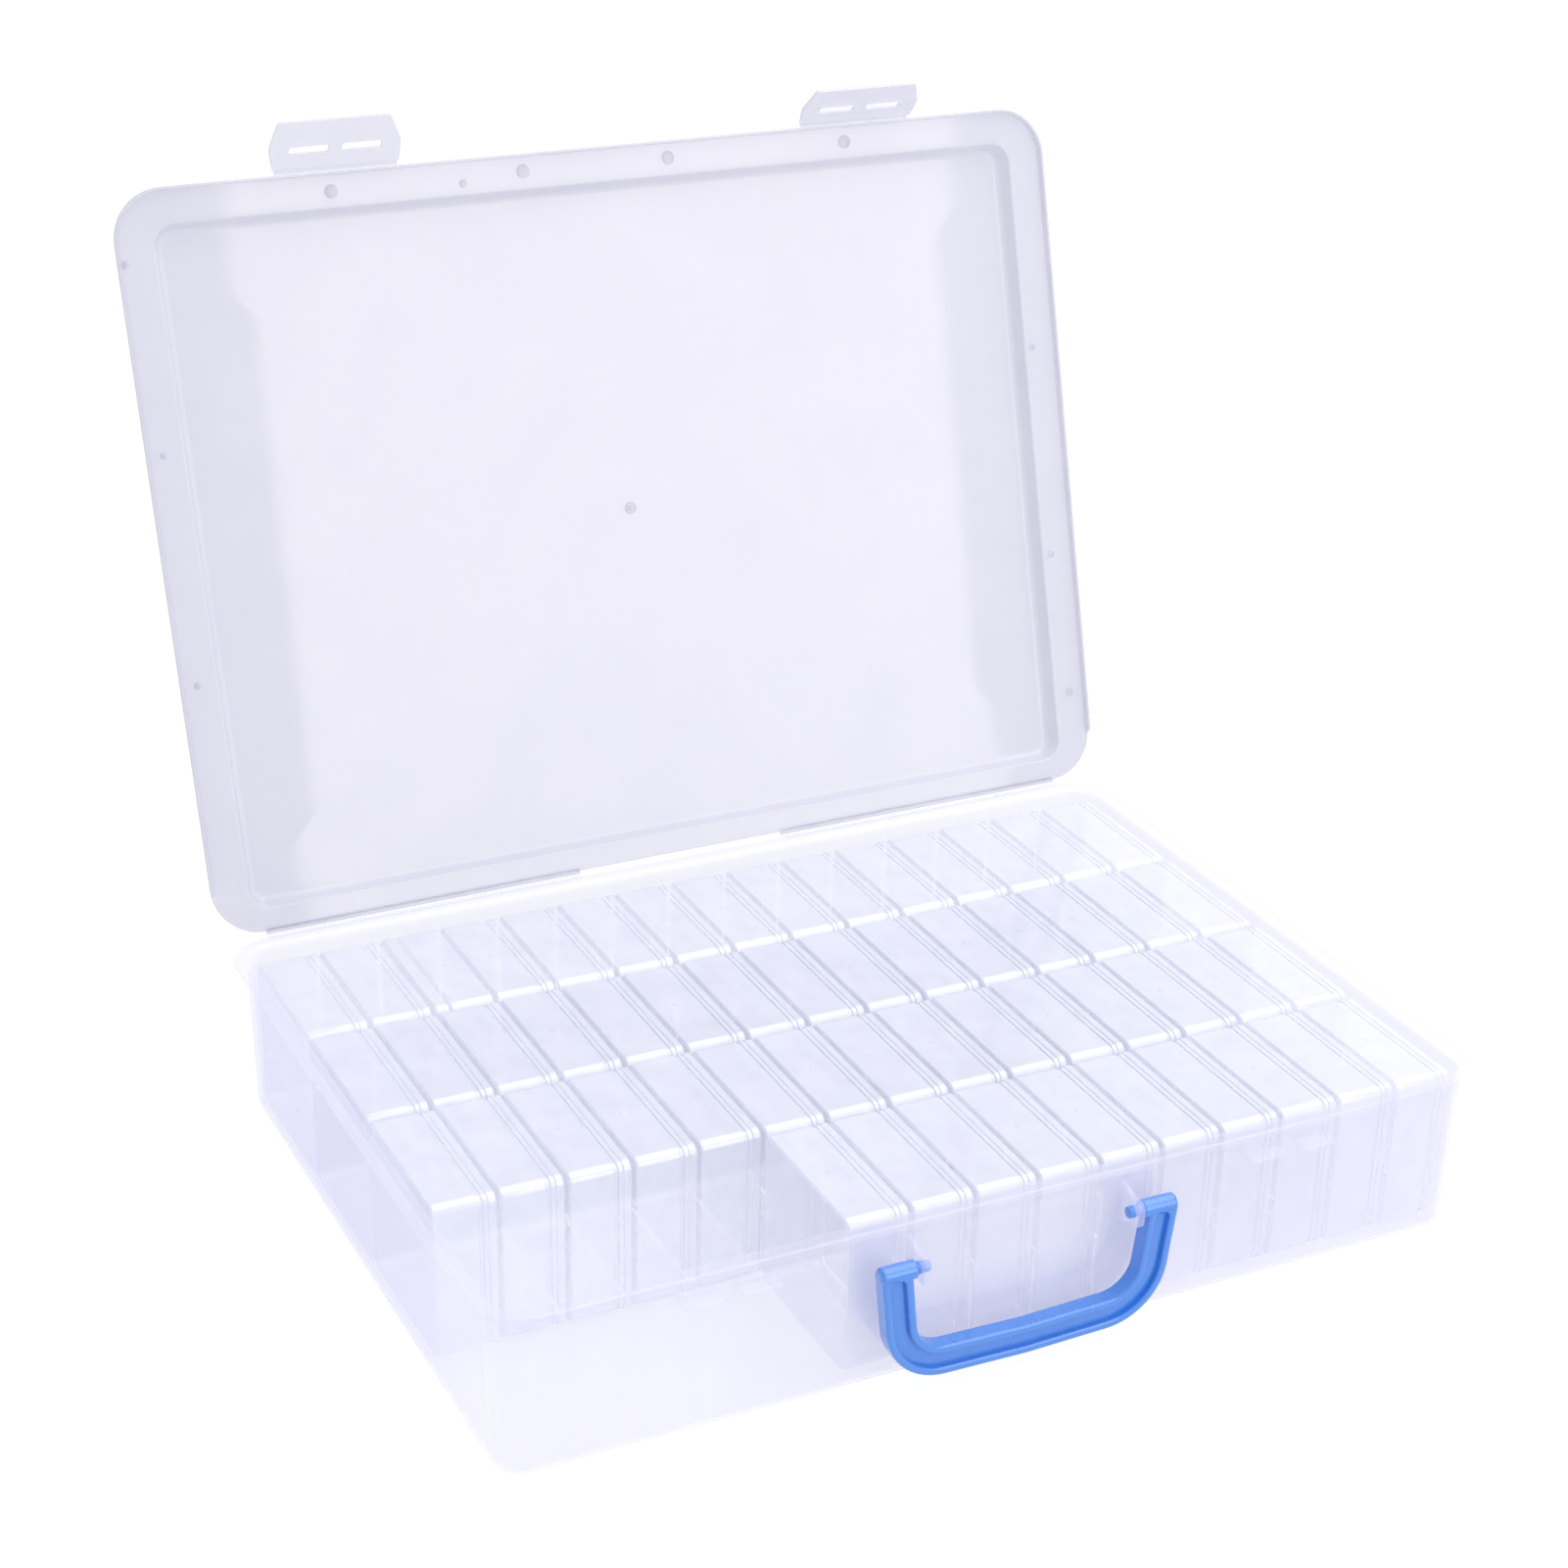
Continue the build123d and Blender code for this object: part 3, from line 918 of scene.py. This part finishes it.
@dataclass
class CaseLid(CasePart):
    """The lid: a flat border with a thin skirt round three sides, and a raised panel."""

    skirt_thick: float = 0.9
    skirt_drop: float = 2.6
    skirt_back: float = 108.4
    rise: float = 5.89
    border_side: float = 13.2
    border_front: float = 12.0
    border_back: float = 8.0
    step_draft: float = 2.0
    step_round: float = 2.4
    panel_corner: float = 7.0
    panel_bow: float = -0.3
    bow_reach: float = 60.0
    panel_rings: int = 10
    ring_step: float = 10.0
    pad_thick: float = 0.36
    pad_sink: float = 0.02
    gate_x: float = -2.2
    gate_away: float = 126.4
    gate_radii: tuple[float, float, float] = (2.1, 1.5, 0.9)
    marks: Sequence[tuple[float, float, float]] = (
        (-98.8, 245.2, 2.3),
        (-29.9, 245.8, 2.3),
        (24.6, 245.8, 2.3),
        (94.0, 245.5, 2.3),
        (-52.0, 243.6, 1.4),
        (-171.4, 228.1, 1.3),
        (-168.0, 165.6, 1.2),
        (-168.0, 88.5, 1.2),
        (164.0, 164.9, 1.2),
        (164.6, 87.1, 1.2),
        (167.6, 33.6, 1.5),
    )

    def outlines(self) -> tuple[RoundedFrame, RoundedFrame]:
        """The lid's outer edge and its panel's edge."""
        s = self.sizes
        depth = s.lid_back - s.lid_front
        middle = (s.lid_back + s.lid_front) / 2
        outer = RoundedFrame(s.lid_half_width, depth / 2, s.lid_corner, middle)
        panel = RoundedFrame(
            s.lid_half_width - self.border_side,
            (depth - self.border_front - self.border_back) / 2,
            self.panel_corner,
            (s.lid_front + self.border_front + s.lid_back - self.border_back) / 2,
        )
        return outer, panel

    def bow(self, out: float) -> float:
        """How far the panel bows up this far out from its edge, below zero on the inside."""
        share = min(1.0, -out / self.bow_reach)
        return self.panel_bow * (1 - (1 - share) ** 2)

    def panel_section(self, edge: float, height: float) -> list[tuple]:
        """The panel's rings inside its rounded edge, towards its middle.

        Args:
            edge: how far out the flat starts, which is below zero.
            height: the height of the flat.

        Returns:
            The section's points.
        """
        places = [edge - self.ring_step * n for n in range(1, self.panel_rings + 1)]
        return [(place, height + self.bow(place - edge)) for place in places]

    def shell(self) -> bpy.types.Mesh:
        """The lid in one skin, drawn closed and then opened."""
        s = self.sizes
        outer, panel = self.outlines()
        top, ceiling = s.lid_under + s.lid_thick, s.lid_under + self.rise
        wall_out = s.lid_thick - self.step_draft
        lower = [
            *reversed(self.panel_section(-self.step_draft, ceiling)),
            (-self.step_draft, ceiling, self.step_round),
            (0, s.lid_under, 0.8),
            (3, s.lid_under),
        ]
        edge = [
            (-self.skirt_thick - 2, s.lid_under),
            (-self.skirt_thick, s.lid_under, 0.3),
            (-self.skirt_thick, s.lid_under - self.skirt_drop, 0.25),
            (0, s.lid_under - self.skirt_drop, 0.3),
            (0, top, 0.9),
            (-3, top),
        ]
        upper = [
            (s.lid_thick + 2, top),
            (s.lid_thick, top, 0.8),
            (wall_out, ceiling + s.lid_thick, self.step_round + s.lid_thick),
            *self.panel_section(wall_out, ceiling + s.lid_thick),
        ]
        matrix = s.opened()

        def place(point: Vector) -> Vector:
            """Ends the skirt before the hinge side, and opens the lid."""
            if point.y > self.skirt_back:
                point = Vector((point.x, point.y, max(point.z, s.lid_under)))
            return matrix @ point

        moulding = Moulding(12).run(panel, lower, 5).run(outer, edge, 4).run(panel, upper, 5)
        return moulding.mesh("case_lid", place)

    def ejector_marks(self) -> bpy.types.Mesh:
        """The round marks that the mould leaves on the border and in the panel's middle."""
        s = self.sizes
        border = [circle(x, s.hinge_y - away, radius, 20) for x, away, radius in self.marks]
        low = s.opened() @ Matrix.Translation((0, 0, s.lid_under - self.pad_sink))
        gate_z = s.lid_under + self.rise + self.panel_bow
        middle = s.opened() @ Matrix.Translation((0, 0, gate_z))
        gate_y = s.hinge_y - self.gate_away
        rim, hollow, pip = ([circle(self.gate_x, gate_y, r)] for r in self.gate_radii)
        parts = [
            Plate(border, self.pad_thick, 0.12).mesh("ejector_pads", low),
            Plate(rim, 0.7, 0.2, hollow).mesh("gate_ring", middle),
            Plate(pip, 1.0, 0.3).mesh("gate_pip", middle),
        ]
        made = bmesh.new()
        for part in parts:
            made.from_mesh(part)
        return finish_mesh(made, "ejector_marks")

    def build(self) -> None:
        """Builds the pieces and puts them on the lid."""
        shell = evaluated(self.shell(), weigh_normals, "lid_shell")
        self.add(Body.LID, "lid_shell", shell, "case_lid")
        self.add(Body.LID, "lid_ejector_marks", self.ejector_marks())
        for side in Side:
            web = hinge_web(self.sizes, side, self.sizes.lid_back, self.sizes.lid_under)
            web.transform(Matrix.Scale(MM, 4) @ self.sizes.opened() @ Matrix.Scale(1 / MM, 4))
            self.add(Body.LID, f"lid_hinge_web_{side.word}", web)


@dataclass
class LatchFlap(CasePart):
    """A latch flap with two slots, on its thin fold at the lid's free edge."""

    side: Side
    angle: float
    fold_y: float = -126.1
    fold_z: float = 56.5
    foot_width: float = 44.0
    wide_width: float = 46.0
    tip_width: float = 39.0
    widest_at: float = 8.5
    length: float = 17.2
    thick: float = 1.4
    web_length: float = 1.6
    web_thick: float = 0.4
    slots_at: float = 7.7
    slot_width: float = 14.0
    slot_height: float = 2.2
    corner_round: float = 1.6
    widest_round: float = 6.0
    web_inset: float = 0.5
    web_overlap: float = 0.5

    def place(self) -> Matrix:
        """Takes the flap's drawing, which stands up from its fold, to the open lid."""
        middle_x = self.side.value * self.sizes.flap_centre
        fold = Matrix.Translation((middle_x, self.fold_y, self.fold_z))
        turn = Matrix.Rotation(math.radians(180 + self.angle), 4, "X")
        return self.sizes.opened() @ fold @ turn

    def build(self) -> None:
        """Builds the flap and puts it on its body."""
        name = f"latch_flap_{self.side.word}"
        half = self.foot_width / 2
        right = [
            (half, self.web_length, 0.4),
            (self.wide_width / 2, self.widest_at, self.widest_round),
            (self.tip_width / 2, self.length, self.corner_round),
        ]
        left = [(-x, y, rounding) for x, y, rounding in reversed(right)]
        outline = round_path([left[2], *right, *left[:2]], 5, closed=True)
        reach = self.sizes.catch_spacing / 2
        slots = [
            slot_outline(x, self.slots_at, self.slot_width, self.slot_height)
            for x in (-reach, reach)
        ]
        plate = Plate([outline], self.thick, 0.25, slots).mesh(name + "_plate", self.place())
        side, end = half - self.web_inset, self.web_length + self.web_overlap
        strip = rectangle((-side, 0), (side, end), 0.2, 2)
        web = Plate([strip], self.web_thick, 0.1).mesh(name + "_web", self.place())
        mesh = evaluated(unite(plate, [web], name), weigh_normals, name)
        body = Body.LEFT_LATCH if self.side is Side.LEFT else Body.RIGHT_LATCH
        self.add(body, name, mesh, name)


@dataclass
class CarryHandle(CasePart):
    """The bail: raised edges round a channel in both faces, on two barrels with pins."""

    opening: float = 81.8
    bar: float = 10.2
    drop: float = 40.0
    taper: float = 4.4
    bow: float = 1.2
    thick: float = 6.0
    inner_round: float = 10.9
    border: float = 2.6
    channel_top: float = -1.2
    channel_depth: float = 1.9
    barrel: float = 3.0
    shoulder: float = 2.05
    pin: float = 1.9
    pin_end: float = 34.4
    channel_round: float = 2.4
    floor_round: float = 2.0
    floor_overlap: float = 0.9
    edge_ease: float = 0.8
    pin_overlap: float = 1.0
    axis: float = 0.01

    def bail(self, inset: float, top: float, end_round: float) -> list[Pair]:
        """The U's outline, drawn in by inset, with its arms ending at top."""
        lean = self.taper / self.drop
        low = -self.drop + self.bow + inset
        inner_low = low + self.bar - 2 * inset
        corner, inner_corner = self.inner_round + self.bar - inset, self.inner_round + inset

        def outer(height: float) -> float:
            """Half the U's outer width at a height."""
            return self.opening / 2 + self.bar - inset + lean * height

        def inner(height: float) -> float:
            """Half the U's inner width at a height."""
            return self.opening / 2 + inset + lean * height

        right = [
            (outer(low), low, corner),
            (outer(top), top, end_round),
            (inner(top), top, end_round),
            (inner(inner_low), inner_low, inner_corner),
        ]
        left = [(-x, y, rounding) for x, y, rounding in reversed(right)]
        middle, inner_middle = (0, low - self.bow), (0, inner_low - self.bow)
        return round_path([*left[2:], middle, *right, inner_middle, *left[:2]], 12, closed=True)

    def turned(self, section: Sequence[tuple], name: str) -> bpy.types.Mesh:
        """A round piece about the pins' line.

        Args:
            section: places along X with the radius there and the rounding of that corner.
            name: the mesh's name.

        Returns:
            The mesh in metres.
        """
        centre = (self.sizes.pivot_y, self.sizes.pivot_z)
        rings = [
            [Vector((x, y, z)) for y, z in circle(*centre, max(radius, self.axis), 32)]
            for x, radius in round_path(section, 3, closed=False)
        ]
        return closed_skin(rings, name)

    def build(self) -> None:
        """Builds the handle and puts it on its body."""
        place = Matrix.Translation((0, self.sizes.pivot_y, self.sizes.pivot_z)) @ across_y()
        channel = self.bail(self.border, self.channel_top, self.channel_round)
        edges = Plate([self.bail(0, 0, 0)], self.thick, self.edge_ease, [channel])
        inset, top = self.border - self.floor_overlap, self.channel_top + self.floor_overlap
        floor = [self.bail(inset, top, self.floor_round)]
        parts = [Plate(floor, self.thick - 2 * self.channel_depth, 0.05).mesh("handle_web", place)]
        low, high = self.opening / 2 - self.shoulder, self.opening / 2 + self.bar
        for side in Side:
            near, far, tip = (side.value * x for x in (low, high, self.pin_end))
            root = side.value * (low + self.pin_overlap)
            barrel = [(near, self.axis), (near, self.barrel, 0.9)]
            barrel += [(far, self.barrel, 1.2), (far, self.axis)]
            parts.append(self.turned(barrel, f"handle_barrel_{side.word}"))
            pin = [(tip, self.axis), (tip, self.pin, 0.4), (root, self.pin, 0), (root, self.axis)]
            parts.append(self.turned(pin, f"handle_pin_{side.word}"))
        name = "carry_handle_bail"
        mesh = unite(edges.mesh("handle_edges", place), parts, name)
        mesh = evaluated(mesh, weigh_normals, name)
        self.add(Body.HANDLE, name, mesh, "carry_handle")


# --- The small boxes ---


@dataclass
class SmallBoxes:
    """The flip-top boxes in their rows, each a tray and a cap, standing on edge."""

    plastic: bpy.types.Material
    depth: float = 56.3
    height: float = 54.0
    thick: float = 21.5
    tray_thick: float = 16.2
    seam_gap: float = 0.1
    corner: float = 3.2
    edge_round: float = 1.3
    lip_width: float = 1.1
    lip_step: float = 0.3
    groove: float = 0.4
    groove_half: float = 0.28
    tab_proud: float = 0.25
    tab_places: Sequence[float] = (17.9, 20.2)
    pip_radius: float = 0.9
    floor_border: float = 9.0
    tab_down: float = 5.2
    tab_width: float = 0.5
    tab_height: float = 3.0
    pip_sink: float = 0.06
    cap_step: float = 1.9
    turned: frozenset[str] = frozenset({"small_box_row4_col03"})

    def place(self, point: Vector) -> Vector:
        """Takes a box drawn lying on its tray to standing on edge, cap to the right."""
        return Vector((point.z - self.thick / 2, point.x, point.y + self.height / 2))

    def pattern(self) -> bpy.types.Mesh:
        """One box, drawn about the middle of its foot."""
        outline = RoundedFrame(self.depth / 2, self.height / 2, self.corner)
        seam = self.tray_thick + self.seam_gap / 2
        lip = self.tray_thick - self.lip_width
        step = self.lip_step
        section = [
            (-self.floor_border, 0),
            (0, 0, self.edge_round),
            (0, lip, 0.15),
            (-step, lip + 0.2, 0.1),
            (-step, seam - self.groove_half - 0.15, 0.12),
            (-step - self.groove, seam - self.groove_half, 0.05),
            (-step - self.groove, seam + self.groove_half, 0.05),
            (-step, seam + self.groove_half + 0.15, 0.12),
            (-step, seam + self.cap_step, 0.1),
            (0, seam + self.cap_step + 0.2, 0.15),
            (0, self.thick, self.edge_round),
            (-self.floor_border, self.thick),
        ]
        mesh = Moulding(6).run(outline, section, 4).mesh("flip_top_box", self.place)
        return evaluated(unite(mesh, self.details(), "flip_top_box"), weigh_normals, "flip_top_box")

    def details(self) -> list[bpy.types.Mesh]:
        """The two small upright tabs on the cap's front, and the mark on the tray's upper edge."""
        half, front = self.thick / 2, -self.depth / 2
        there = Matrix.Translation((0, front, 0)) @ across_y()
        details = []
        for number, across in enumerate(self.tab_places):
            middle_z = self.height - self.tab_down
            tab = slot_outline(across - half, middle_z, self.tab_width, self.tab_height)
            plate = Plate([tab], 2 * self.tab_proud, 0.1)
            details.append(plate.mesh(f"cap_tab_{number + 1}", there))
        pip = circle(self.tray_thick / 2 - half, 0, self.pip_radius, 16)
        top = Matrix.Translation((0, 0, self.height - self.pip_sink))
        details.append(Plate([pip], 0.4, 0.12).mesh("mould_mark", top))
        return details

    def build(self) -> int:
        """Puts a box on each small box's body.

        Returns:
            The number of boxes.
        """
        mesh = self.pattern()
        nodes = [node for node in sorted(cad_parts) if node.startswith("small_box")]
        for node in nodes:
            low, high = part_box(node)
            middle = (low + high) / 2
            turn = Matrix.Rotation(math.pi if node in self.turned else 0.0, 4, "Z")
            name = node.replace("small_box", "flip_top_box")
            body = node.replace("small_box", "box")
            piece = add_piece(name, mesh, self.plastic, body, Slot.BOXES, [node])
            piece.matrix_world = Matrix.Translation((middle.x, middle.y, low.z)) @ turn
        return len(nodes)


# --- The studio ---


@dataclass
class Studio:
    """Pale floor, white surroundings, two soft lamps and the camera at the photograph's angle."""

    floor_size: float = 8.0
    floor_colour: Colour = (0.86, 0.86, 0.87)
    ambient: float = 0.82
    camera_place: Colour = (-0.410821, -0.775024, 0.543907)
    camera_turn: Colour = (62.8248, -0.9792, -25.7241)
    lens: float = 69.4171
    shift: Pair = (0.013970, 0.081657)
    floor_drop: float = 0.0004
    floor_white: float = 1.06
    floor_share: float = 0.88
    sensor: float = 36.0
    nearest: float = 0.05

    def floor(self) -> None:
        """A large pale floor that shows as white but keeps the case's shadow."""
        made = bpy.data.materials.new("pale_floor")
        graph = Graph(made)
        matt = graph.node("ShaderNodeBsdfDiffuse", {"Color": (*self.floor_colour, 1)})
        lit = {"Color": (1, 1, 1, 1), "Strength": self.floor_white}
        white = graph.node("ShaderNodeEmission", lit)
        graph.surface(graph.mix(self.seen(graph) * self.floor_share, matt, white))
        mesh = bpy.data.meshes.new("floor")
        half, z = self.floor_size / 2, -self.floor_drop
        corners = [(-half, -half, z), (half, -half, z), (half, half, z), (-half, half, z)]
        mesh.from_pydata(corners, [], [(0, 1, 2, 3)])
        mesh.materials.append(made)
        plane = add_object("floor", mesh)

    def seen(self, graph: Graph) -> Wire:
        """1 for rays from the camera, a reflection or clear plastic, 0 for light's own paths."""
        path = graph.node("ShaderNodeLightPath")
        camera, glossy, through = (
            Wire(graph, path.outputs[f"Is {kind} Ray"])
            for kind in ("Camera", "Glossy", "Transmission")
        )
        sockets = {0: camera + glossy + through, 1: 1.0}
        return graph.value("ShaderNodeMath", sockets, operation="MINIMUM")

    def world(self) -> None:
        """Even light all round, which shows as white."""
        world = bpy.data.worlds.new("studio")
        bpy.context.scene.world = world
        graph = Graph(world)
        strength = self.ambient + self.seen(graph) * (1.0 - self.ambient)
        lit = {"Color": (1, 1, 1, 1), "Strength": strength}
        graph.surface(graph.node("ShaderNodeBackground", lit), "ShaderNodeOutputWorld")

    def softbox(
        self,
        name: str,
        place: Colour,
        target: Colour,
        size: Pair,
        radiance: float,
        roll: float = 0.0,
        tone: Colour = (1, 1, 1),
    ) -> None:
        """Adds a rectangular lamp that faces a point.

        Args:
            name: the lamp's name.
            place: where it stands, in metres.
            target: the point that it faces.
            size: its width and height in metres.
            radiance: how bright its face is, where 1 is white.
            roll: how far it is turned about the line to the target, in degrees.
            tone: its colour.
        """
        lamp = bpy.data.lights.new(name, "AREA")
        lamp.shape = "RECTANGLE"
        lamp.size, lamp.size_y = size
        lamp.energy = radiance * math.pi * size[0] * size[1]
        lamp.color = tone
        holder = add_object(name, lamp)
        holder.location = place
        away = Vector(target) - Vector(place)
        turn = Quaternion((0, 0, 1), math.radians(roll))
        holder.rotation_euler = (away.to_track_quat("-Z", "Y") @ turn).to_euler()

    def camera(self) -> None:
        """The camera, as solved from the photograph's straight edges."""
        lens = bpy.data.cameras.new("camera")
        lens.sensor_width = self.sensor
        lens.lens = self.lens
        lens.shift_x, lens.shift_y = self.shift
        lens.clip_start = self.nearest
        holder = add_object("camera", lens)
        holder.location = self.camera_place
        holder.rotation_euler = [math.radians(a) for a in self.camera_turn]
        bpy.context.scene.camera = holder

    def build(self) -> None:
        """Sets up everything that isn't the part."""
        self.camera()
        self.floor()
        self.world()
        self.softbox(
            "lid_softbox",
            place=(0.5904, -1.2875, 0.488),
            target=(-0.015, 0.162, 0.186),
            size=(0.632, 1.0),
            radiance=1.9,
            roll=-7.1,
            tone=(1.0, 0.985, 0.82),
        )
        self.softbox(
            "top_softbox",
            place=(0.60, -0.15, 1.27),
            target=(0.60, -0.15, 0.0),
            size=(0.85, 1.9),
            radiance=1.9,
        )
        bpy.context.scene.view_settings.view_transform = "Standard"


def main() -> None:
    """Builds the scene, sub-assembly by sub-assembly."""
    logging.basicConfig(level=logging.INFO, format="%(name)s: %(message)s")
    Studio().build()
    LOG.info("studio: floor, world, lamps and camera")
    sizes = CaseSizes()
    tray_plastic = FrostedMoulding(
        "clear_tray_plastic",
        tint=(0.932, 0.930, 0.976),
        milk=(0.77, 0.76, 0.92),
        top_milk=0.12,
        side_milk=0.20,
        front_milk=0.10,
        body=0.65,
        roughness=0.12,
        ripple=0.00006,
        # painted light: the tray's milk glows a little
        glow=0.22,
        # painted shade on the tray's front and back walls
        front_loss=0.09,
    )
    lid_plastic = FrostedMoulding(
        "clear_lid_plastic",
        tint=(0.93, 0.928, 0.96),
        milk=(0.62, 0.61, 0.74),
        top_milk=0.45,
        side_milk=0.45,
        front_milk=0.45,
        body=1.0,
        roughness=0.05,
        ripple=0.00005,
    )
    flap_plastic = replace(lid_plastic, name="clear_flap_plastic", milk=(0.70, 0.70, 0.82))
    box_plastic = FrostedMoulding(
        "clear_box_plastic",
        tint=(0.972, 0.978, 1.0),
        milk=(0.760, 0.778, 0.880),
        top_milk=0.52,
        side_milk=0.06,
        front_milk=0.50,
        edge_milk=0.3,
        body=0.6,
        roughness=0.10,
        ripple=0.00001,
        gloss=2.1,
        cloud_size=0.018,
        # painted light: the boxes' milk glows a little
        glow=0.13,
    )
    handle_plastic = SmoothHandlePlastic(
        "blue_handle_plastic",
        colour=(0.038, 0.222, 0.765),
        worn=(0.052, 0.252, 0.79),
        roughness=0.25,
    )
    clear_flap = flap_plastic.material()
    CaseTray(sizes, tray_plastic.material()).build()
    LOG.info("tray, ears, catches and hinge webs")
    CaseLid(sizes, lid_plastic.material()).build()
    LOG.info("lid, ejector marks and hinge webs")
    LatchFlap(sizes, clear_flap, Side.LEFT, 20.0).build()
    LatchFlap(sizes, clear_flap, Side.RIGHT, 50.0).build()
    LOG.info("latch flaps")
    CarryHandle(sizes, handle_plastic.material()).build()
    LOG.info("carrying handle")
    LOG.info("small boxes: %d", SmallBoxes(box_plastic.material()).build())


if __name__ == "__main__":
    main()
